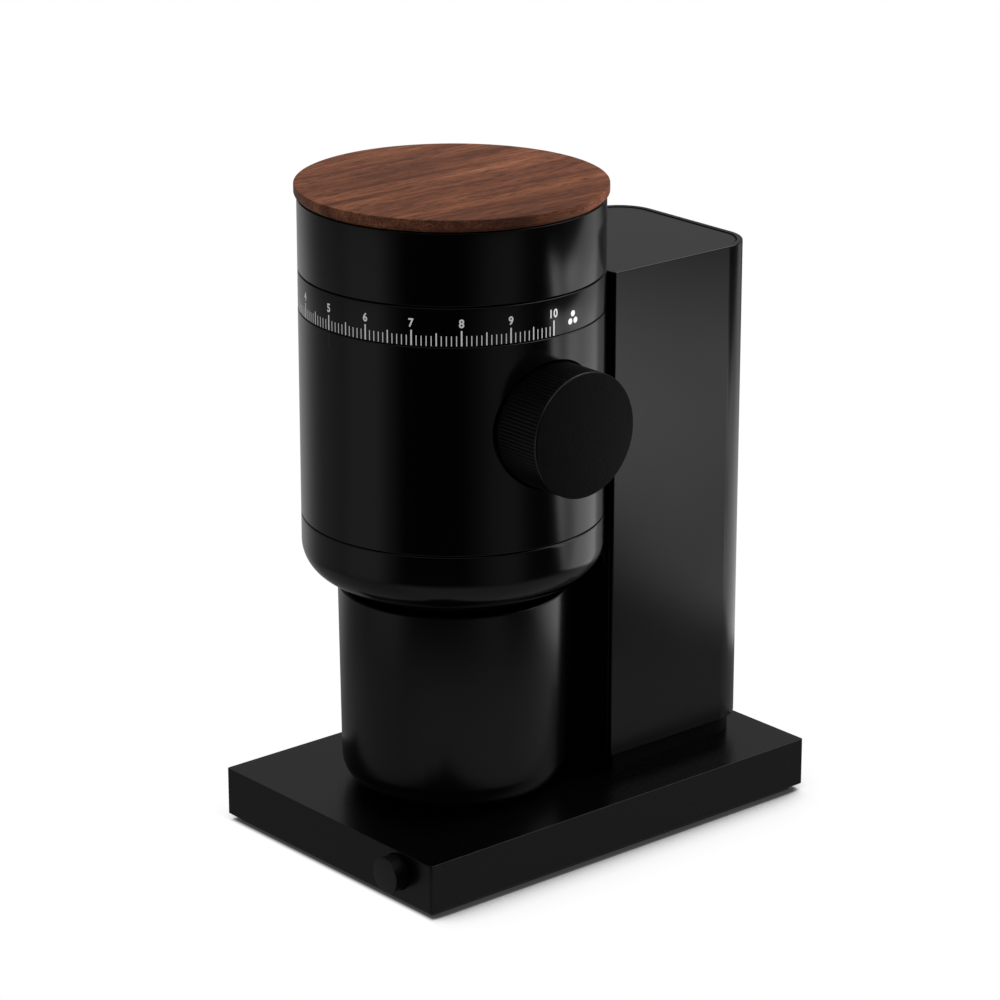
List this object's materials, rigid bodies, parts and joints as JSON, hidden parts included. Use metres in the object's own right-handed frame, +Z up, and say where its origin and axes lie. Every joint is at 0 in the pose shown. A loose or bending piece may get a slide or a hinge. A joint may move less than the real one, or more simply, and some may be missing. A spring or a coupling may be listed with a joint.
{
  "type": "coffee grinder",
  "caption": "Countertop burr coffee grinder: black drum with a numbered setting ring, side knob and wooden lid, in front of a motor tower on a flat base, with a catch cup.",
  "frame": {"origin": "centre of the base at floor level, on the underside of the rubber foot mat", "axes": "+Z up; -Y is the front, where the start button is; +X is the side of the setting knob"},
  "size_m": [0.1432, 0.2062, 0.2697],
  "materials": {
    "base_paint": "satin black powder coat, fine grain",
    "drum_paint": "satin black powder coat, fine grain",
    "tower_paint": "satin black powder coat",
    "panel_black": "matt",
    "ring_paint": "satin black with a white printed scale",
    "cup_paint": "satin black coat",
    "knob_black": "sand-textured face, fine straight knurl",
    "button_black": "satin",
    "walnut": "oiled walnut, long straight grain",
    "black_plastic": "satin moulded",
    "inner_plastic": "moulded, unseen in use",
    "soft_black": "matt",
    "foot_rubber": "matt rubber",
    "gasket_silicone": "matt silicone",
    "dark_steel": "plain coated sheet",
    "screw_steel": "plated",
    "bright_steel": "machined",
    "burr_steel": "ground cutting edges",
    "cast_alloy": "cast, lightly blasted",
    "brass_gear": "machined",
    "nylon_gear": "natural acetal",
    "copper_winding": "laminated core with copper winding",
    "circuit_board": "solder-masked board"
  },
  "bodies": {
    "frame": {"base_housing": "base_paint", "base_bottom_plate": "dark_steel", "foot_mat": "foot_rubber", "base_screws": "screw_steel", "button_spring": "screw_steel", "button_switch": "inner_plastic", "control_board": "circuit_board", "tower_plinth": "black_plastic", "plinth_screws": "screw_steel", "tower_shell": "tower_paint", "tower_front_panel": "panel_black", "tower_top_cover": "tower_paint", "power_inlet": "black_plastic", "motor_frame": "bright_steel", "motor_can": "bright_steel", "motor_end_cap": "inner_plastic", "motor_screws": "screw_steel", "gearbox_case": "inner_plastic", "gearbox_cover": "inner_plastic", "gearbox_screws": "screw_steel", "compound_axle": "bright_steel", "idler_axle": "bright_steel", "lower_bearing": "bright_steel", "upper_bearing": "bright_steel", "burr_housing": "cast_alloy", "grounds_chute": "black_plastic", "body_shell": "drum_paint", "lower_dome": "drum_paint", "dome_screws": "screw_steel", "chute_collar": "soft_black", "ring_washer": "nylon_gear", "knob_recess": "soft_black", "knob_bush": "brass_gear"},
    "button": {"start_button": "button_black"},
    "motor_rotor": {"motor_armature": "copper_winding", "motor_shaft": "bright_steel", "motor_pinion": "brass_gear"},
    "compound": {"compound_gear": "nylon_gear"},
    "idler": {"idler_gear": "nylon_gear"},
    "burr_drive": {"burr_gear": "nylon_gear", "burr_shaft": "bright_steel", "cone_burr": "burr_steel", "burr_nut": "bright_steel", "grounds_sweeper": "nylon_gear"},
    "carrier": {"burr_carrier": "cast_alloy", "ring_burr": "burr_steel", "burr_screws": "screw_steel", "carrier_pins": "bright_steel"},
    "ring": {"adjust_ring": "ring_paint", "ring_gear": "nylon_gear"},
    "knob": {"adjust_knob": "knob_black", "knob_shaft": "bright_steel", "knob_pinion": "brass_gear"},
    "hopper": {"hopper_band": "drum_paint", "hopper_funnel": "inner_plastic"},
    "lid": {"lid_disc": "walnut", "lid_plug": "black_plastic", "lid_gasket": "gasket_silicone"},
    "cup": {"catch_cup": "cup_paint"}
  },
  "joints": [
    {"name": "burr_spin", "type": "hinge", "parent": "frame", "child": "burr_drive", "pos_m": [0, -0.034, 0.15], "axis": [0, 0, 1], "continuous": true},
    {"name": "idler_spin", "type": "hinge", "parent": "frame", "child": "idler", "pos_m": [0, 0.00225, 0.145], "axis": [0, 0, 1], "continuous": true},
    {"name": "compound_spin", "type": "hinge", "parent": "frame", "child": "compound", "pos_m": [0, 0.02725, 0.145], "axis": [0, 0, 1], "continuous": true},
    {"name": "motor_spin", "type": "hinge", "parent": "frame", "child": "motor_rotor", "pos_m": [0, 0.05725, 0.1], "axis": [0, 0, 1], "continuous": true},
    {"name": "ring_turn", "type": "hinge", "parent": "frame", "child": "ring", "pos_m": [0, -0.034, 0.228], "axis": [0, 0, 1], "range_deg": [-90, 72]},
    {"name": "knob_turn", "type": "hinge", "parent": "frame", "child": "knob", "pos_m": [0.066, -0.034, 0.1855], "axis": [1, 0, 0], "range_deg": [-289, 361]},
    {"name": "burr_gap_slide", "type": "slide", "parent": "frame", "child": "carrier", "axis": [0, 0, 1], "range_m": [-0.00031, 0.00038]},
    {"name": "hopper_lift", "type": "slide", "parent": "frame", "child": "hopper", "axis": [0, 0, 1], "range_m": [0, 0.05]},
    {"name": "lid_lift", "type": "slide", "parent": "hopper", "child": "lid", "axis": [0, 0, 1], "range_m": [0, 0.03]},
    {"name": "cup_slide", "type": "slide", "parent": "frame", "child": "cup", "axis": [0, -1, 0], "range_m": [0, 0.13]},
    {"name": "button_press", "type": "slide", "parent": "frame", "child": "button", "axis": [0, 1, 0], "range_m": [0, 0.002], "stiffness_N_per_m": 600, "springref_m": -0.002, "deforming": ["button_spring"]}
  ],
  "couplings": [
    {"joint": "idler_spin", "follows": "burr_spin", "ratio": -1.2308},
    {"joint": "compound_spin", "follows": "burr_spin", "ratio": 2.2857},
    {"joint": "motor_spin", "follows": "burr_spin", "ratio": -6.8571},
    {"joint": "knob_turn", "follows": "ring_turn", "ratio": -4},
    {"joint": "burr_gap_slide", "follows": "ring_turn", "m_per_rad": -0.0002387}
  ]
}
